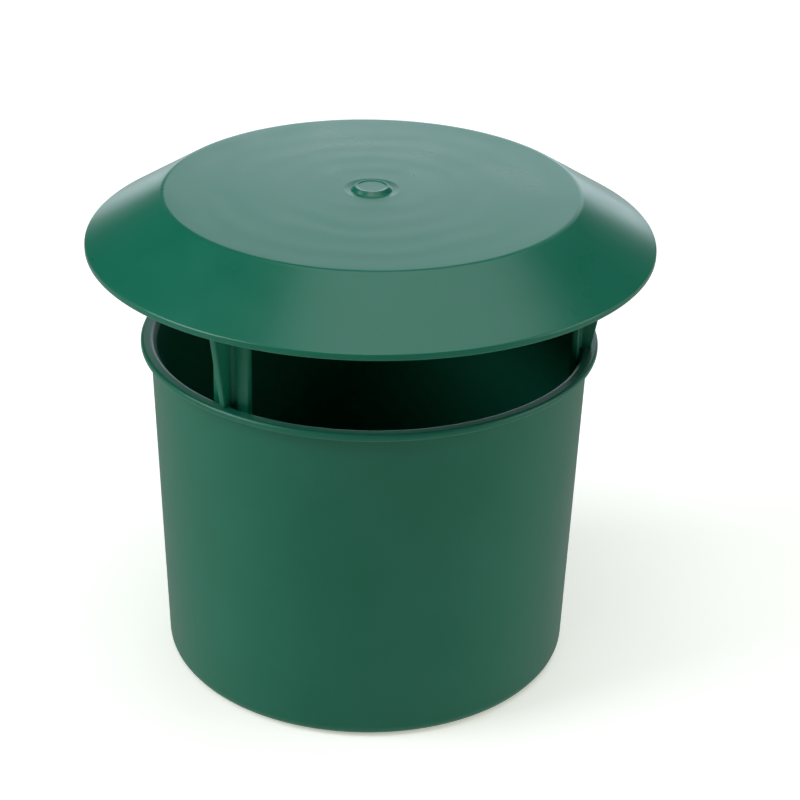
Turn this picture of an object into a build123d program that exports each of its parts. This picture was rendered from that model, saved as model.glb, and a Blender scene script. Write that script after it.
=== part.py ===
"""Two-piece bait trap: a drafted cup with a flared lip, and a rain roof on three legs that stands in its mouth.

Millimetres. +Z is up, the origin is the centre of the cup's foot, and -Y is the front.
Both pieces are turned from half-profiles, where a point is (radius, height).
"""
import os

from build123d import *

# ---- driving dimensions -------------------------------------------------------------
OVERALL_HEIGHT = 99.0      # foot to the top of the gate boss
ROOF_DIAMETER = 110.0
LIP_DIAMETER = 90.0        # the cup across its flared lip
CUP_HEIGHT = 68.5          # foot to the top of the lip
WALL = 1.3                 # moulded wall of both pieces

# ---- cup ----------------------------------------------------------------------------
FOOT_RADIUS = 40.9         # outside of the wall, down at the foot
NECK_RADIUS = 43.1         # outside of the wall, just under the lip
FOOT_ROUNDING = 2.6
FOOT_RING_WIDTH = 2.2
FOOT_RECESS = 0.9          # the floor's underside stands this far off the table
FLOOR = 1.6
LIP_RADIUS = LIP_DIAMETER / 2
LIP_THICKNESS = 1.3
LIP_DROOP = 0.5            # the lip's underside falls this much from its edge to the wall
MOUTH_RADIUS = 42.8        # inner edge of the lip's flat top
MOUTH_DEPTH = 1.3          # height of the slope from the lip down to the inner wall

# ---- roof ---------------------------------------------------------------------------
ROOF_RADIUS = ROOF_DIAMETER / 2
DISC_RADIUS = 40.2         # the flat top
DISC_HEIGHT = 98.4
DISC_THICKNESS = 1.4
SKIRT_EDGE_TOP = 89.2      # height where the sloping skirt meets its upright edge
SKIRT_EDGE_HEIGHT = 1.2
SLOPE = (DISC_HEIGHT - SKIRT_EDGE_TOP) / (ROOF_RADIUS - DISC_RADIUS)

# ---- gate boss in the middle of the roof --------------------------------------------
BOSS_RADIUS = 4.0
BOSS_TOP_RADIUS = 3.3
BOSS_DISH_RADIUS = 3.0
BOSS_DISH_FLOOR = 2.6
BOSS_DISH_DEPTH = 0.1
DIMPLE_RADIUS = 5.4        # the boss stands in a shallow dimple
DIMPLE_DEPTH = 0.12

# ---- legs ---------------------------------------------------------------------------
LEG_COUNT = 3
FIRST_LEG_ANGLE = 233.0    # the leg at the front left
WEB_CLEARANCE = 0.3        # between the curved web and the cup's inner wall
WEB_THICKNESS = 1.3
WEB_SPAN = 12.0            # degrees
WEB_TIP = 49.0             # height of the webs' lower ends
RIB_THICKNESS = 1.4
RIB_RADIUS = 43.7          # the rib's outer edge, where it stands on the lip
RIB_LEAN = 0.17            # outwards for each mm up
RIB_ROUNDING = 0.6         # where rib and web meet
LEG_ROOT = 0.7             # the legs' tops lie this deep in the roof's wall


def round_corner(profile, corner, radius):
    """Rounds the corner of a half-profile nearest to the (radius, height) given."""
    fillet(profile.vertices().sort_by_distance(corner)[0], radius)


def inner_wall_radius(height):
    """Radius of the cup's drafted inner wall at a height."""
    neck_height = CUP_HEIGHT - LIP_THICKNESS - LIP_DROOP
    return FOOT_RADIUS + (NECK_RADIUS - FOOT_RADIUS) * height / neck_height - WALL


def leg_top(radius):
    """Height inside the roof's wall where a leg ends at a radius."""
    return DISC_HEIGHT - LEG_ROOT - SLOPE * max(0, radius - DISC_RADIUS)


def make_cup():
    """The cup: foot ring, drafted wall and flared lip, turned from one profile."""
    ring_inside = (FOOT_RADIUS - FOOT_ROUNDING - FOOT_RING_WIDTH, 0)
    recess = (ring_inside[0] - FOOT_RECESS, FOOT_RECESS)
    foot = (FOOT_RADIUS, 0)
    lip_low = (LIP_RADIUS, CUP_HEIGHT - LIP_THICKNESS)
    neck = (NECK_RADIUS, lip_low[1] - LIP_DROOP)
    lip_high = (LIP_RADIUS, CUP_HEIGHT)
    mouth = (MOUTH_RADIUS, CUP_HEIGHT)
    throat_height = CUP_HEIGHT - MOUTH_DEPTH
    throat = (inner_wall_radius(throat_height), throat_height)
    floor_top = FOOT_RECESS + FLOOR
    floor_corner = (inner_wall_radius(floor_top), floor_top)
    with BuildPart() as cup:
        with BuildSketch(Plane.XZ) as profile:
            with BuildLine():
                Polyline(
                    (0, FOOT_RECESS), recess, ring_inside, foot, neck, lip_low, lip_high,
                    mouth, throat, floor_corner, (0, floor_top), close=True,
                )
            make_face()
            round_corner(profile, foot, FOOT_ROUNDING)
            round_corner(profile, floor_corner, FOOT_ROUNDING - WALL / 2)
            round_corner(profile, neck, 0.8)
            round_corner(profile, lip_low, 0.5)
            round_corner(profile, lip_high, 0.6)
            round_corner(profile, mouth, 0.8)
            round_corner(profile, throat, 0.9)
        revolve(axis=Axis.Z)
    cup.part.label = "cup"
    return cup.part


def make_leg():
    """One leg, standing at angle 0: a curved web that plugs in the mouth, and a rib that stands on the lip."""
    web_front = inner_wall_radius(CUP_HEIGHT - MOUTH_DEPTH) - WEB_CLEARANCE
    tip_front = inner_wall_radius(WEB_TIP) - WEB_CLEARANCE
    web_back = web_front - WEB_THICKNESS
    rise = (leg_top(RIB_RADIUS) - CUP_HEIGHT) / (1 + SLOPE * RIB_LEAN)
    rib_shoulder = (RIB_RADIUS + RIB_LEAN * rise, CUP_HEIGHT + rise)
    with BuildPart() as leg:
        with BuildSketch(Plane.XZ.rotated((0, 0, -WEB_SPAN / 2))):
            with BuildLine():
                Polyline(
                    (tip_front - WEB_THICKNESS, WEB_TIP), (tip_front, WEB_TIP),
                    (web_front, CUP_HEIGHT - MOUTH_DEPTH), (web_front, leg_top(web_front)),
                    (web_back, leg_top(web_back)), (web_back, CUP_HEIGHT - MOUTH_DEPTH),
                    close=True,
                )
            make_face()
        revolve(axis=Axis.Z, revolution_arc=WEB_SPAN)
        with BuildSketch(Plane.XZ):
            with BuildLine():
                Polyline(
                    (web_back, CUP_HEIGHT), (RIB_RADIUS, CUP_HEIGHT), rib_shoulder,
                    (web_back, leg_top(web_back)), close=True,
                )
            make_face()
        extrude(amount=RIB_THICKNESS / 2, both=True)
        junction = leg.edges().filter_by(Axis.Z).filter_by(
            lambda edge: abs(abs(edge.center().Y) - RIB_THICKNESS / 2) < 0.01
            and abs(Vector(edge.center().X, edge.center().Y).length - web_front) < 0.01
        )
        fillet(junction, RIB_ROUNDING)
    return leg.part


def make_roof(leg):
    """The roof: flat top, sloping skirt, gate boss and three legs, moulded in one piece."""
    drop = WALL * (1 + SLOPE**2) ** 0.5
    under_disc = DISC_HEIGHT - DISC_THICKNESS
    inner_disc_radius = DISC_RADIUS - (drop - DISC_THICKNESS) / SLOPE
    disc_edge = (DISC_RADIUS, DISC_HEIGHT)
    skirt_edge = (ROOF_RADIUS, SKIRT_EDGE_TOP)
    skirt_end = (ROOF_RADIUS, SKIRT_EDGE_TOP - SKIRT_EDGE_HEIGHT)
    skirt_inner = (ROOF_RADIUS - WALL, skirt_end[1])
    skirt_under = (ROOF_RADIUS - WALL, SKIRT_EDGE_TOP + SLOPE * WALL - drop)
    dish_floor = (BOSS_DISH_FLOOR, OVERALL_HEIGHT - BOSS_DISH_DEPTH)
    dish_edge = (BOSS_DISH_RADIUS, OVERALL_HEIGHT)
    boss_edge = (BOSS_TOP_RADIUS, OVERALL_HEIGHT)
    boss_foot = (BOSS_RADIUS, DISC_HEIGHT - DIMPLE_DEPTH)
    dimple_edge = (DIMPLE_RADIUS, DISC_HEIGHT)
    with BuildPart() as roof:
        with BuildSketch(Plane.XZ) as profile:
            with BuildLine():
                Polyline(
                    (0, dish_floor[1]), dish_floor, dish_edge, boss_edge, boss_foot, dimple_edge,
                    disc_edge, skirt_edge, skirt_end, skirt_inner, skirt_under,
                    (inner_disc_radius, under_disc), (0, under_disc), close=True,
                )
            make_face()
            round_corner(profile, disc_edge, 2.0)
            round_corner(profile, skirt_edge, 0.5)
            round_corner(profile, skirt_end, 0.35)
            round_corner(profile, dish_floor, 0.6)
            round_corner(profile, boss_edge, 0.3)
            round_corner(profile, boss_foot, 0.3)
            round_corner(profile, dimple_edge, 1.5)
        revolve(axis=Axis.Z)
        with PolarLocations(0, LEG_COUNT, start_angle=FIRST_LEG_ANGLE):
            add(leg)
    roof.part.label = "roof_lid"
    return roof.part


os.makedirs("parts", exist_ok=True)
for piece in (make_cup(), make_roof(make_leg())):
    export_step(piece, f"parts/{piece.label}.step")
    size = piece.bounding_box().size
    print(f"{piece.label}: {len(piece.solids())} solid, {piece.volume:.0f} mm3, "
          f"{size.X:.1f} x {size.Y:.1f} x {size.Z:.1f} mm")
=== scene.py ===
"""Looks for a two-piece bait trap: green moulded polypropylene on a white table.

The frame gives the bodies, and how wide and how high the cup and the roof are. A moulding's
lengths are millimetres until its mesh is made. The studio's are metres, apart from those whose
names end in mm. Profiles are (radius, height) pairs turned about the Z axis.
"""

import logging
import math
from dataclasses import dataclass
from enum import Enum
from typing import Any

import bmesh
import bpy
from mathutils import Matrix, Vector


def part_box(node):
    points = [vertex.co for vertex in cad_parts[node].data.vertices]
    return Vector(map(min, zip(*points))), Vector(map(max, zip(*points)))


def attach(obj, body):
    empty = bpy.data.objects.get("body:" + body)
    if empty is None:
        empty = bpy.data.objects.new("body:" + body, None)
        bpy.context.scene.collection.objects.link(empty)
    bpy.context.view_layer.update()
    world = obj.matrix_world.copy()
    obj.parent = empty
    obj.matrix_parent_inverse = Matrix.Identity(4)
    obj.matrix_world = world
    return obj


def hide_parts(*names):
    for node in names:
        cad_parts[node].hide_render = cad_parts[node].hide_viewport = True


LOG = logging.getLogger("bait_trap")
MM = 0.001
DECIMALS = 2  # kept of a length in millimetres that is worked out from the frame
CREASE_DEG = 35.0  # edges that bend more than this are shaded sharp
WAVE_RATE = 20  # radians by which the wave texture advances per unit of its scaled vector

# The mix node names its sockets alike for every kind of data, so they go by number.
MIX_FACTOR = 0
MIX_NUMBERS = (2, 3)
MIX_COLOURS = (6, 7)
MIX_NUMBER_RESULT = 0
MIX_COLOUR_RESULT = 2

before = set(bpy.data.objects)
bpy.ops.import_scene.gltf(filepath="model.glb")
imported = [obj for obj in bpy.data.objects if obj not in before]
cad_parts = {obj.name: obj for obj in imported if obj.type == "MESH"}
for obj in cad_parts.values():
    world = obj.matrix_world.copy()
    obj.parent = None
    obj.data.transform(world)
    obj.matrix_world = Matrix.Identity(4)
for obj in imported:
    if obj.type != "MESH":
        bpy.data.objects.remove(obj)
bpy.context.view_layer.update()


class Body(Enum):
    """The two bodies that move against each other. Each carries one moulding of its name."""

    CUP = "cup"
    ROOF = "roof_lid"


# ---------------------------------------------------------------------------------------
# Small tools
# ---------------------------------------------------------------------------------------
def linear(hex_colour: str) -> tuple[float, float, float, float]:
    """Turns an sRGB hex colour into linear RGBA.

    Args:
        hex_colour: six hex digits after a hash.

    Returns:
        The linear colour with alpha 1.
    """
    channels = [int(hex_colour[i : i + 2], 16) / 255 for i in (1, 3, 5)]
    red, green, blue = (c / 12.92 if c <= 0.04045 else ((c + 0.055) / 1.055) ** 2.4 for c in channels)
    return red, green, blue, 1.0


def node_reach(body: Body) -> tuple[float, float]:
    """Reads how far out and how high a body's node reaches in the frame.

    Args:
        body: the body, whose node has the same name.

    Returns:
        The outer radius and the top's height, in millimetres.
    """
    _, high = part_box(body.value)
    return round(high.x / MM, DECIMALS), round(high.z / MM, DECIMALS)


def add_node(
    tree: bpy.types.NodeTree, kind: str, inputs: dict[str | int, Any] | None = None, **settings: Any
) -> bpy.types.Node:
    """Adds a shader node with its settings, values and links.

    Args:
        tree: node tree to add to.
        kind: Blender's node type name.
        inputs: input name or number to a value, or to the output socket that feeds it.
        settings: node attributes.

    Returns:
        The new node.
    """
    node = tree.nodes.new(kind)
    for name, value in settings.items():
        setattr(node, name, value)
    for socket, value in (inputs or {}).items():
        if isinstance(value, bpy.types.NodeSocket):
            tree.links.new(value, node.inputs[socket])
        else:
            node.inputs[socket].default_value = value
    return node


# ---------------------------------------------------------------------------------------
# Finishes
# ---------------------------------------------------------------------------------------
@dataclass(frozen=True)
class MouldedPolypropylene:
    """Green polypropylene, injection moulded in a lightly polished steel tool.

    It gives the eye a semi-gloss skin: soft wide highlights that waver where the wall has
    sunk while cooling, faint rings where the melt flowed out from the gate, and slightly
    paler streaks of pigment. Polypropylene's IOR is 1.49, and such a skin is 0.25 to 0.4 rough.
    """

    name: str
    roughness: float
    colour: str = "#0B6249"
    pale_colour: str = "#106C54"
    ior: float = 1.49
    roughness_swing: float = 0.03
    streak_mm: float = 16.0
    flow_ring_mm: float = 7.0
    flow_height_mm: float = 0.010
    sink_mm: float = 28.0
    sink_height_mm: float = 0.05
    grain_mm: float = 0.9
    grain_height_mm: float = 0.0012

    def build(self) -> bpy.types.Material:
        """Builds the node material.

        Returns:
            The material.
        """
        material = bpy.data.materials.new(self.name)
        material.use_nodes = True
        tree = material.node_tree
        tree.nodes.clear()
        place = add_node(tree, "ShaderNodeTexCoord").outputs["Object"]
        streaks = add_node(
            tree,
            "ShaderNodeTexNoise",
            {"Vector": place, "Scale": 1 / (self.streak_mm * MM), "Detail": 3.0, "Distortion": 0.6},
        )
        colour = add_node(
            tree,
            "ShaderNodeMix",
            {
                MIX_FACTOR: streaks.outputs["Fac"],
                MIX_COLOURS[0]: linear(self.colour),
                MIX_COLOURS[1]: linear(self.pale_colour),
            },
            data_type="RGBA",
        )
        rough = add_node(
            tree,
            "ShaderNodeMapRange",
            {
                "Value": streaks.outputs["Fac"],
                "From Min": 0.3,
                "From Max": 0.7,
                "To Min": self.roughness - self.roughness_swing,
                "To Max": self.roughness + self.roughness_swing,
            },
        )
        sink = add_node(
            tree,
            "ShaderNodeTexNoise",
            {"Vector": place, "Scale": 1 / (self.sink_mm * MM), "Detail": 1.0, "Roughness": 0.4},
        )
        rings = add_node(
            tree,
            "ShaderNodeTexWave",
            {
                "Vector": place,
                "Scale": math.tau / WAVE_RATE / (self.flow_ring_mm * MM),
                "Distortion": 3.0,
                "Detail": 2.0,
                "Detail Scale": 1.2,
            },
            wave_type="RINGS",
            rings_direction="Z",
        )
        grain = add_node(
            tree, "ShaderNodeTexNoise", {"Vector": place, "Scale": 1 / (self.grain_mm * MM), "Detail": 2.0}
        )
        normal = None
        for texture, height in (
            (sink, self.sink_height_mm),
            (rings, self.flow_height_mm),
            (grain, self.grain_height_mm),
        ):
            bump = add_node(
                tree, "ShaderNodeBump", {"Height": texture.outputs["Fac"], "Distance": height * MM}
            )
            if normal:
                tree.links.new(normal, bump.inputs["Normal"])
            normal = bump.outputs["Normal"]
        shader = add_node(
            tree,
            "ShaderNodeBsdfPrincipled",
            {
                "Base Color": colour.outputs[MIX_COLOUR_RESULT],
                "Roughness": rough.outputs["Result"],
                "IOR": self.ior,
                "Normal": normal,
            },
        )
        add_node(tree, "ShaderNodeOutputMaterial", {"Surface": shader.outputs["BSDF"]})
        return material


@dataclass(frozen=True)
class LitCard:
    """Matt white card on a light table: it glows a little, so shadows on it stay pale."""

    name: str = "lit_white_card"
    colour: str = "#F6F6F4"
    glow_colour: str = "#FFFCEE"
    glow: float = 0.42

    def build(self) -> bpy.types.Material:
        """Builds the card's material.

        Returns:
            The material.
        """
        material = bpy.data.materials.new(self.name)
        material.use_nodes = True
        tree = material.node_tree
        tree.nodes.clear()
        shader = add_node(
            tree,
            "ShaderNodeBsdfPrincipled",
            {
                "Base Color": linear(self.colour),
                "Roughness": 0.9,
                "Specular IOR Level": 0.2,
                "Emission Color": linear(self.glow_colour),
                "Emission Strength": self.glow,
            },
        )
        add_node(tree, "ShaderNodeOutputMaterial", {"Surface": shader.outputs["BSDF"]})
        material.cycles.emission_sampling = "NONE"
        return material


# ---------------------------------------------------------------------------------------
# Shapes
# ---------------------------------------------------------------------------------------
@dataclass(frozen=True)
class Corner:
    """A corner of a turned profile and the radius that rounds it, in millimetres."""

    radius: float
    height: float
    rounding: float = 0.0

    def point(self) -> Vector:
        """Gives the corner as a (radius, height) vector."""
        return Vector((self.radius, self.height))


@dataclass(frozen=True)
class Turning:
    """A closed round body turned about the Z axis from corners that start and end on it."""

    corners: tuple[Corner, ...]
    segments: int = 256
    arc_steps: int = 6
    guard_mm: float = 0.15

    def profile(self) -> list[Vector]:
        """Rounds the corners. Guard points beside each arc keep the flats' shading flat.

        Returns:
            The (radius, height) points from axis to axis.
        """
        points = [self.corners[0].point()]
        for before, corner, after in zip(self.corners, self.corners[1:], self.corners[2:]):
            here = corner.point()
            back = (before.point() - here).normalized()
            ahead = (after.point() - here).normalized()
            half = back.angle(ahead) / 2
            reach = corner.rounding / math.tan(half)
            centre = here + (back + ahead).normalized() * corner.rounding / math.sin(half)
            start = here + back * reach - centre
            end = here + ahead * reach - centre
            points.append(centre + start + back * self.guard_mm)
            for step in range(self.arc_steps + 1):
                spoke = start.lerp(end, step / self.arc_steps).normalized() * corner.rounding
                points.append(centre + spoke)
            points.append(centre + end + ahead * self.guard_mm)
        points.append(self.corners[-1].point())
        return points

    def add_to(self, mesh: bmesh.types.BMesh) -> None:
        """Adds the turned body to a mesh.

        Args:
            mesh: mesh to add to, in metres.
        """
        points = self.profile()
        angles = [math.tau * i / self.segments for i in range(self.segments)]
        rings = [
            [mesh.verts.new((p.x * math.cos(a) * MM, p.x * math.sin(a) * MM, p.y * MM)) for a in angles]
            for p in points[1:-1]
        ]
        for lower, upper in zip(rings, rings[1:]):
            for i in range(self.segments):
                j = (i + 1) % self.segments
                mesh.faces.new((lower[i], lower[j], upper[j], upper[i]))
        for ring, pole in ((rings[0], points[0]), (rings[-1], points[-1])):
            centre = mesh.verts.new((0, 0, pole.y * MM))
            for i in range(self.segments):
                mesh.faces.new((centre, ring[i], ring[(i + 1) % self.segments]))


@dataclass(frozen=True)
class Moulding:
    """Something moulded in one piece, on one body."""

    body: Body
    finish: MouldedPolypropylene

    def shape(self, mesh: bmesh.types.BMesh) -> None:
        """Adds the moulding's shape to a mesh.

        Args:
            mesh: mesh to add to, in metres.
        """
        raise NotImplementedError

    def build(self) -> bpy.types.Object:
        """Makes the piece, dresses it and puts it on its body in the frame's node's place.

        Returns:
            The piece.
        """
        shaped = bmesh.new()
        self.shape(shaped)
        bmesh.ops.recalc_face_normals(shaped, faces=shaped.faces)
        for face in shaped.faces:
            face.smooth = True
        data = bpy.data.meshes.new(f"{self.body.value}_moulding")
        shaped.to_mesh(data)
        shaped.free()
        data.set_sharp_from_angle(angle=math.radians(CREASE_DEG))
        data.materials.append(self.finish.build())
        piece = bpy.data.objects.new(data.name, data)
        bpy.context.collection.objects.link(piece)
        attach(piece, self.body.value)
        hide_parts(self.body.value)
        LOG.info("%s: %d faces, %s", piece.name, len(data.polygons), self.finish.name)
        return piece


@dataclass(frozen=True)
class Cup(Moulding):
    """The bait cup: a foot ring, a drafted wall and a narrow flared lip."""

    lip_radius: float
    height: float
    lip_thickness: float = 1.3
    lip_droop: float = 0.5
    mouth_radius: float = 42.8
    mouth_depth: float = 1.3
    neck_radius: float = 43.1
    foot_radius: float = 40.9
    foot_rounding: float = 2.6
    foot_ring_width: float = 2.2
    foot_recess: float = 0.9
    floor: float = 1.6
    wall: float = 1.3
    ring_rounding: float = 0.4
    neck_rounding: float = 0.8
    lip_underside_rounding: float = 0.5
    lip_rounding: float = 0.6
    mouth_rounding: float = 0.8
    throat_rounding: float = 0.9

    def inner_radius(self, height: float) -> float:
        """Gives the inner wall's radius.

        Args:
            height: height above the table.

        Returns:
            The radius there.
        """
        neck_height = self.height - self.lip_thickness - self.lip_droop
        return self.foot_radius + (self.neck_radius - self.foot_radius) * height / neck_height - self.wall

    def shape(self, mesh: bmesh.types.BMesh) -> None:
        """Adds the cup's turned shape to a mesh.

        Args:
            mesh: mesh to add to, in metres.
        """
        ring_inside = self.foot_radius - self.foot_rounding - self.foot_ring_width
        floor_top = self.foot_recess + self.floor
        throat = self.height - self.mouth_depth
        underside = self.height - self.lip_thickness
        Turning(
            (
                Corner(0, self.foot_recess),
                Corner(ring_inside - self.foot_recess, self.foot_recess, self.ring_rounding),
                Corner(ring_inside, 0, self.ring_rounding),
                Corner(self.foot_radius, 0, self.foot_rounding),
                Corner(self.neck_radius, underside - self.lip_droop, self.neck_rounding),
                Corner(self.lip_radius, underside, self.lip_underside_rounding),
                Corner(self.lip_radius, self.height, self.lip_rounding),
                Corner(self.mouth_radius, self.height, self.mouth_rounding),
                Corner(self.inner_radius(throat), throat, self.throat_rounding),
                Corner(self.inner_radius(floor_top), floor_top, self.foot_rounding - self.wall / 2),
                Corner(0, floor_top),
            )
        ).add_to(mesh)


@dataclass(frozen=True)
class Leg:
    """A T-shaped leg: a curved web that plugs into the cup, and a rib that stands on its lip."""

    cup: Cup
    top: float
    disc_radius: float
    slope: float
    tip_height: float = 49.0
    web_clearance: float = 0.3
    web_thickness: float = 1.3
    web_span_deg: float = 12.0
    web_steps: int = 12
    rib_radius: float = 43.7
    rib_lean: float = 0.17
    rib_thickness: float = 1.4
    rib_rounding: float = 0.6
    rib_overlap: float = 0.5
    root_steps: int = 5
    edge_rounding: float = 0.3
    edge_steps: int = 4
    bevel_segments: int = 3
    bevel_from_deg: float = 40.0

    def web_front(self, height: float) -> float:
        """Gives the web's outer radius, a little inside the cup's inner wall.

        Args:
            height: height above the table.

        Returns:
            The radius there.
        """
        return round(self.cup.inner_radius(height) - self.web_clearance, DECIMALS)

    def throat(self) -> float:
        """Gives the height where the cup's inner wall meets its flared mouth."""
        return self.cup.height - self.cup.mouth_depth

    def under_roof(self, radius: float) -> float:
        """Gives the height where a leg ends, inside the roof's wall.

        Args:
            radius: distance from the axis.

        Returns:
            The height there.
        """
        return self.top - self.slope * max(0.0, radius - self.disc_radius)

    def rib_section(self) -> list[tuple[float, float, float]]:
        """Works out one side of the rib's plan, from the web to its outer edge.

        Returns:
            Points as (radius, half width, lean).
        """
        half = self.rib_thickness / 2
        web_radius = self.web_front(self.throat())
        points = [(web_radius - self.rib_overlap, half + self.rib_rounding, 0.0)]
        for step in range(self.root_steps + 1):
            turn = math.radians(180 + 90 * step / self.root_steps)
            points.append(
                (
                    web_radius + self.rib_rounding * (1 + math.cos(turn)),
                    half + self.rib_rounding * (1 + math.sin(turn)),
                    0.0,
                )
            )
        for step in range(self.edge_steps + 1):
            turn = math.radians(90 - 90 * step / self.edge_steps)
            points.append(
                (
                    self.rib_radius - self.edge_rounding * (1 - math.cos(turn)),
                    half - self.edge_rounding * (1 - math.sin(turn)),
                    self.rib_lean,
                )
            )
        return points

    def add_to(self, mesh: bmesh.types.BMesh, azimuth: float) -> None:
        """Adds the leg to a mesh.

        Args:
            mesh: mesh to add to, in metres.
            azimuth: the leg's direction in degrees, anticlockwise from +X.
        """
        turn = Matrix.Rotation(math.radians(azimuth), 4, "Z") @ Matrix.Scale(MM, 4)
        self.add_web(mesh, turn)
        self.add_rib(mesh, turn)

    def add_web(self, mesh: bmesh.types.BMesh, turn: Matrix) -> None:
        """Adds the curved web with softened edges.

        Args:
            mesh: mesh to add to, in metres.
            turn: takes the leg from angle 0 in millimetres to its place in metres.
        """
        throat = self.throat()
        front = self.web_front(throat)
        back = front - self.web_thickness
        tip = self.web_front(self.tip_height)
        outline = [
            (tip - self.web_thickness, self.tip_height),
            (tip, self.tip_height),
            (front, throat),
            (front, self.under_roof(front)),
            (back, self.under_roof(back)),
            (back, throat),
        ]
        count = len(outline)
        ribbon = []
        for step in range(self.web_steps + 1):
            angle = math.radians(self.web_span_deg * (step / self.web_steps - 0.5))
            corners = [Vector((r * math.cos(angle), r * math.sin(angle), z)) for r, z in outline]
            ribbon.append([mesh.verts.new(turn @ corner) for corner in corners])
        faces = [mesh.faces.new(ribbon[0]), mesh.faces.new(ribbon[-1])]
        for near, far in zip(ribbon, ribbon[1:]):
            for i in range(count):
                j = (i + 1) % count
                faces.append(mesh.faces.new((near[i], near[j], far[j], far[i])))
        bmesh.ops.recalc_face_normals(mesh, faces=faces)
        sharp = math.radians(self.bevel_from_deg)
        bent = [edge for face in faces for edge in face.edges if edge.calc_face_angle(0) > sharp]
        bmesh.ops.bevel(
            mesh,
            geom=list(dict.fromkeys(bent)),
            offset=self.edge_rounding * MM,
            segments=self.bevel_segments,
            profile=0.5,
            affect="EDGES",
        )

    def add_rib(self, mesh: bmesh.types.BMesh, turn: Matrix) -> None:
        """Adds the leaning rib, its root flared into the web.

        Args:
            mesh: mesh to add to, in metres.
            turn: takes the leg from angle 0 in millimetres to its place in metres.
        """
        side = self.rib_section()
        plan = side + [(radius, -width, lean) for radius, width, lean in reversed(side)]
        lower, upper = [], []
        for radius, width, lean in plan:
            rise = (self.under_roof(radius) - self.cup.height) / (1 + self.slope * lean)
            foot = Vector((radius, width, self.cup.height))
            head = Vector((radius + lean * rise, width, self.cup.height + rise))
            lower.append(mesh.verts.new(turn @ foot))
            upper.append(mesh.verts.new(turn @ head))
        mesh.faces.new(lower)
        mesh.faces.new(upper)
        for i in range(len(plan)):
            j = (i + 1) % len(plan)
            mesh.faces.new((lower[i], lower[j], upper[j], upper[i]))


@dataclass(frozen=True)
class RainRoof(Moulding):
    """The rain roof: a flat top with a gate boss, a sloping skirt, and three legs."""

    cup: Cup
    radius: float
    top: float
    boss_height: float = 0.6
    boss_radius: float = 4.0
    boss_top_radius: float = 3.3
    boss_foot_rounding: float = 0.3
    boss_top_rounding: float = 0.2
    dish_radius: float = 3.0
    dish_floor_radius: float = 2.6
    dish_depth: float = 0.1
    dish_rounding: float = 0.1
    dish_floor_rounding: float = 0.6
    dimple_radius: float = 5.4
    dimple_depth: float = 0.12
    dimple_rounding: float = 1.5
    disc_radius: float = 40.2
    disc_thickness: float = 1.4
    disc_rounding: float = 2.0
    skirt_drop: float = 9.2
    skirt_edge_height: float = 1.2
    skirt_rounding: float = 0.5
    skirt_end_rounding: float = 0.35
    inner_edge_rounding: float = 0.15
    inner_rounding: float = 0.5
    under_rounding: float = 1.0
    wall: float = 1.3
    leg_root: float = 0.7
    leg_azimuths: tuple[float, ...] = (233.0, 353.0, 113.0)

    def shape(self, mesh: bmesh.types.BMesh) -> None:
        """Adds the roof's turned shape and its legs to a mesh.

        Args:
            mesh: mesh to add to, in metres.
        """
        disc_height = self.top - self.boss_height
        skirt_top = disc_height - self.skirt_drop
        skirt_end = skirt_top - self.skirt_edge_height
        slope = self.skirt_drop / (self.radius - self.disc_radius)
        drop = self.wall * math.sqrt(1 + slope**2)
        under_disc = disc_height - self.disc_thickness
        under_disc_radius = self.disc_radius - (drop - self.disc_thickness) / slope
        dish_floor = self.top - self.dish_depth
        inner = self.radius - self.wall
        Turning(
            (
                Corner(0, dish_floor),
                Corner(self.dish_floor_radius, dish_floor, self.dish_floor_rounding),
                Corner(self.dish_radius, self.top, self.dish_rounding),
                Corner(self.boss_top_radius, self.top, self.boss_top_rounding),
                Corner(self.boss_radius, disc_height - self.dimple_depth, self.boss_foot_rounding),
                Corner(self.dimple_radius, disc_height, self.dimple_rounding),
                Corner(self.disc_radius, disc_height, self.disc_rounding),
                Corner(self.radius, skirt_top, self.skirt_rounding),
                Corner(self.radius, skirt_end, self.skirt_end_rounding),
                Corner(inner, skirt_end, self.inner_edge_rounding),
                Corner(inner, skirt_top + slope * self.wall - drop, self.inner_rounding),
                Corner(under_disc_radius, under_disc, self.under_rounding),
                Corner(0, under_disc),
            ),
            guard_mm=0.08,
        ).add_to(mesh)
        leg = Leg(self.cup, disc_height - self.leg_root, self.disc_radius, slope)
        for azimuth in self.leg_azimuths:
            leg.add_to(mesh, azimuth)


# ---------------------------------------------------------------------------------------
# Studio
# ---------------------------------------------------------------------------------------
@dataclass(frozen=True)
class Softbox:
    """A rectangular diffused light, by its brightness. Its place, target and size are in metres."""

    name: str
    place: tuple[float, float, float]
    target: tuple[float, float, float]
    size: tuple[float, float]
    radiance: float
    colour: str = "#FFFFFF"

    def build(self) -> bpy.types.Object:
        """Makes the area light and turns it to its target.

        Returns:
            The light object.
        """
        light = bpy.data.lights.new(self.name, "AREA")
        light.shape = "RECTANGLE"
        light.size, light.size_y = self.size
        light.energy = self.radiance * math.pi * self.size[0] * self.size[1]
        light.color = linear(self.colour)[:3]
        holder = bpy.data.objects.new(self.name, light)
        holder.location = self.place
        aim = Vector(self.target) - Vector(self.place)
        holder.rotation_euler = aim.to_track_quat("-Z", "Y").to_euler()
        holder.visible_camera = False
        bpy.context.collection.objects.link(holder)
        return holder


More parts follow.
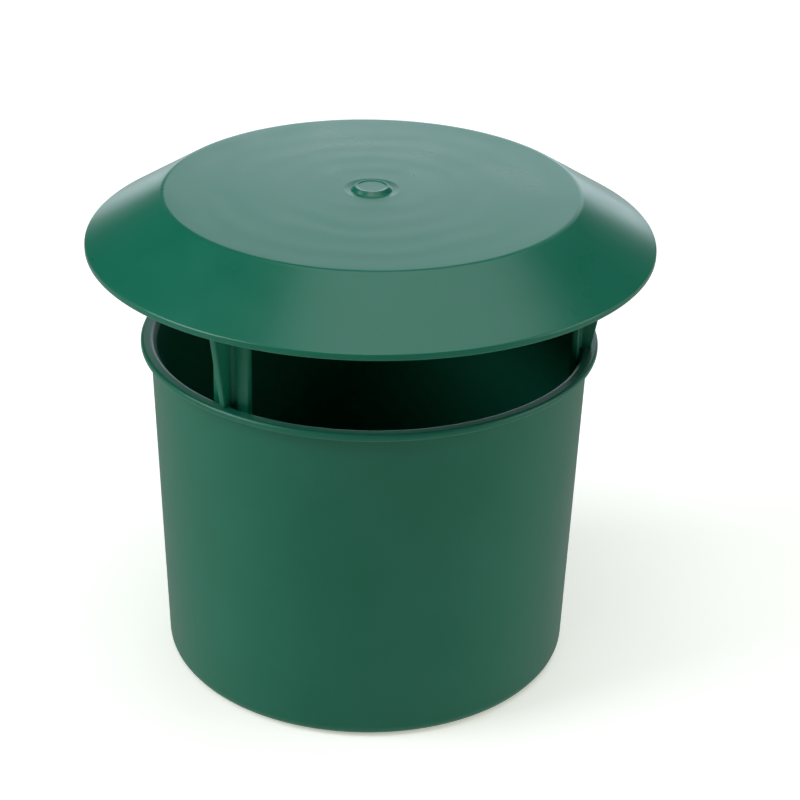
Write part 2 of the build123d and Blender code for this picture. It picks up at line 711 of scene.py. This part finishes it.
@dataclass(frozen=True)
class Studio:
    """A white table in a soft light, with a camera somewhat above the object."""

    table_half_m: float = 6.0
    table_finish: LitCard = LitCard()
    camera_place_mm: tuple[float, float, float] = (6.27, -392.37, 249.44)
    camera_pitch_deg: float = 26.56
    camera_roll_deg: float = 1.23
    lens_mm: float = 98.34
    front_level: float = 0.04
    back_level: float = 0.40
    upper_level: float = 0.045
    softboxes: tuple[Softbox, ...] = (
        Softbox("overhead_softbox", (0.10, 0.0, 0.70), (0.0, 0.0, 0.0), (0.72, 0.62), 1.75, "#F3FAFF"),
        Softbox("front_softbox", (-0.1, -0.55, 1.15), (0.0, 0.0, 0.05), (0.5, 0.5), 2.0),
        Softbox("back_softbox", (0.13, 0.95, 0.25), (0.0, 0.0, 0.08), (0.62, 0.50), 2.1, "#E6F4FF"),
        Softbox("back_left_softbox", (-0.28, 0.95, 0.10), (0.0, 0.0, 0.08), (0.25, 0.30), 1.6, "#E6F4FF"),
        Softbox("left_softbox", (-0.68, -0.18, 0.52), (0.0, 0.0, 0.05), (0.5, 0.5), 5.6, "#F3FAFF"),
        Softbox("right_softbox", (0.80, -0.10, 0.30), (0.0, 0.0, 0.05), (0.5, 0.6), 1.9, "#F3FAFF"),
    )

    def build_table(self) -> bpy.types.Object:
        """Lays the table. The plastic doesn't mirror it, as if it ended close in front.

        Returns:
            The table.
        """
        half = self.table_half_m
        mesh = bpy.data.meshes.new("table")
        corners = [(-half, -half, 0), (half, -half, 0), (half, half, 0), (-half, half, 0)]
        mesh.from_pydata([Vector(corner) for corner in corners], [], [(0, 1, 2, 3)])
        mesh.materials.append(self.table_finish.build())
        table = bpy.data.objects.new("table", mesh)
        table.visible_glossy = False
        bpy.context.collection.objects.link(table)
        return table

    def build_room(self) -> None:
        """Fills the room with light: dim in front and above, brighter low down at the back."""
        room = bpy.data.worlds.new("room")
        room.use_nodes = True
        tree = room.node_tree
        tree.nodes.clear()
        ray = add_node(tree, "ShaderNodeTexCoord").outputs["Generated"]
        parts = add_node(tree, "ShaderNodeSeparateXYZ", {"Vector": ray})
        low = add_node(
            tree,
            "ShaderNodeMapRange",
            {
                "Value": parts.outputs["Y"],
                "From Min": -0.9,
                "From Max": 0.1,
                "To Min": self.front_level,
                "To Max": self.back_level,
            },
        )
        is_up = add_node(
            tree, "ShaderNodeMapRange", {"Value": parts.outputs["Z"], "From Min": -0.05, "From Max": 0.10}
        )
        level = add_node(
            tree,
            "ShaderNodeMix",
            {
                MIX_FACTOR: is_up.outputs["Result"],
                MIX_NUMBERS[0]: low.outputs["Result"],
                MIX_NUMBERS[1]: self.upper_level,
            },
        )
        strength = level.outputs[MIX_NUMBER_RESULT]
        background = add_node(
            tree, "ShaderNodeBackground", {"Color": linear("#FFFFFF"), "Strength": strength}
        )
        add_node(tree, "ShaderNodeOutputWorld", {"Surface": background.outputs["Background"]})
        bpy.context.scene.world = room

    def build_camera(self) -> bpy.types.Object:
        """Sets up the camera.

        Returns:
            The camera object.
        """
        data = bpy.data.cameras.new("camera")
        data.sensor_width = 36.0
        data.lens = self.lens_mm
        data.clip_start = 0.01
        camera = bpy.data.objects.new("camera", data)
        pitch = Matrix.Rotation(math.radians(90 - self.camera_pitch_deg), 4, "X")
        roll = Matrix.Rotation(math.radians(self.camera_roll_deg), 4, "Z")
        camera.matrix_world = Matrix.Translation(Vector(self.camera_place_mm) * MM) @ pitch @ roll
        bpy.context.collection.objects.link(camera)
        bpy.context.scene.camera = camera
        return camera

    def build(self) -> None:
        """Builds the table, lights, room and camera."""
        self.build_table()
        for softbox in self.softboxes:
            softbox.build()
        self.build_room()
        self.build_camera()
        bpy.context.scene.view_settings.view_transform = "Standard"
        LOG.info("studio ready")


def main() -> None:
    """Builds everything."""
    logging.basicConfig(level=logging.INFO, format="%(name)s %(message)s")
    cup_finish = MouldedPolypropylene("moulded_polypropylene_cup", roughness=0.38)
    cup = Cup(Body.CUP, cup_finish, *node_reach(Body.CUP))
    roof_finish = MouldedPolypropylene("moulded_polypropylene_roof", roughness=0.30)
    roof = RainRoof(Body.ROOF, roof_finish, cup, *node_reach(Body.ROOF))
    for moulding in (cup, roof):
        moulding.build()
    Studio().build()


if __name__ == "__main__":
    main()
